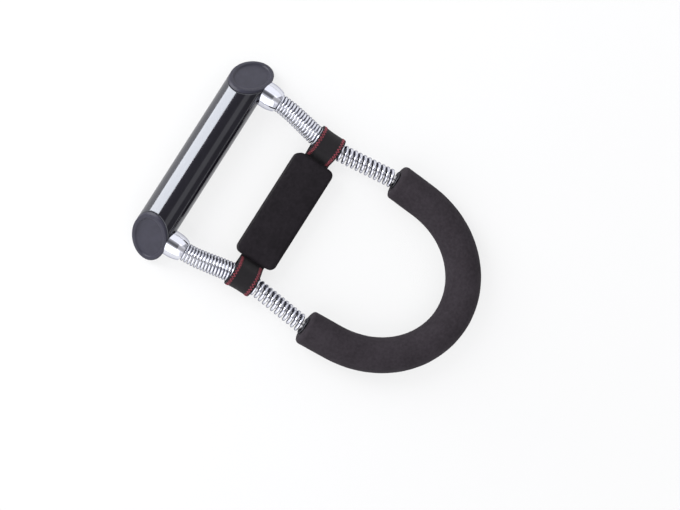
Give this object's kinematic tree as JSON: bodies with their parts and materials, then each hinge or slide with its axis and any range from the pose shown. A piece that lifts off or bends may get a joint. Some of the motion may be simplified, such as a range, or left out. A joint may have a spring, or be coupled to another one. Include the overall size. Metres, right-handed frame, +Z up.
{
  "type": "wrist exerciser",
  "caption": "Spring wrist and forearm exerciser: crossbar grip on coil spring arms, a padded strap sling between them and a foam-sleeved bow that braces the forearm.",
  "frame": {"origin": "middle of the flat underside of the wrist pad, on the surface that the part lies on", "axes": "+X along the grip, +Y from the grip over the pad to the apex of the bow, +Z up, out of the side that the wrist lies against"},
  "size_m": [0.162, 0.2415, 0.028],
  "materials": {
    "gloss_black_plastic": "high gloss",
    "satin_black_plastic": "satin",
    "chrome": "mirror chrome",
    "spring_steel": "nickel plated spring wire",
    "plain_steel": "bright drawn",
    "foam": "matte closed-cell foam",
    "pad_foam": "matte foam",
    "strap_fabric": "woven webbing with red edge stitching"
  },
  "bodies": {
    "bow": {"frame_rod": "plain_steel", "foam_sleeve": "foam", "coupler_left": "plain_steel", "coupler_right": "plain_steel", "rear_spring_left": "spring_steel", "rear_spring_right": "spring_steel", "front_spring_left": "spring_steel", "front_spring_right": "spring_steel", "spring_washer_left": "plain_steel", "spring_washer_right": "plain_steel"},
    "grip": {"grip_tube": "gloss_black_plastic", "grip_core": "plain_steel", "end_cap_left": "satin_black_plastic", "end_cap_right": "satin_black_plastic", "spring_cup_left": "chrome", "spring_cup_right": "chrome", "cup_screw_left": "plain_steel", "cup_screw_right": "plain_steel"},
    "sling": {"sling_strap": "strap_fabric", "wrist_pad": "pad_foam"}
  },
  "joints": [
    {"name": "flex", "type": "hinge", "parent": "bow", "child": "grip", "pos_m": [0, -0.02745, 0.013], "axis": [1, 0, 0], "range_deg": [-60, 60], "stiffness_Nm_per_rad": 10, "deforming": ["front_spring_left", "front_spring_right"]},
    {"name": "sling_shift", "type": "slide", "parent": "bow", "child": "sling", "axis": [0, 1, 0], "range_m": [-0.003, 0.003]}
  ]
}
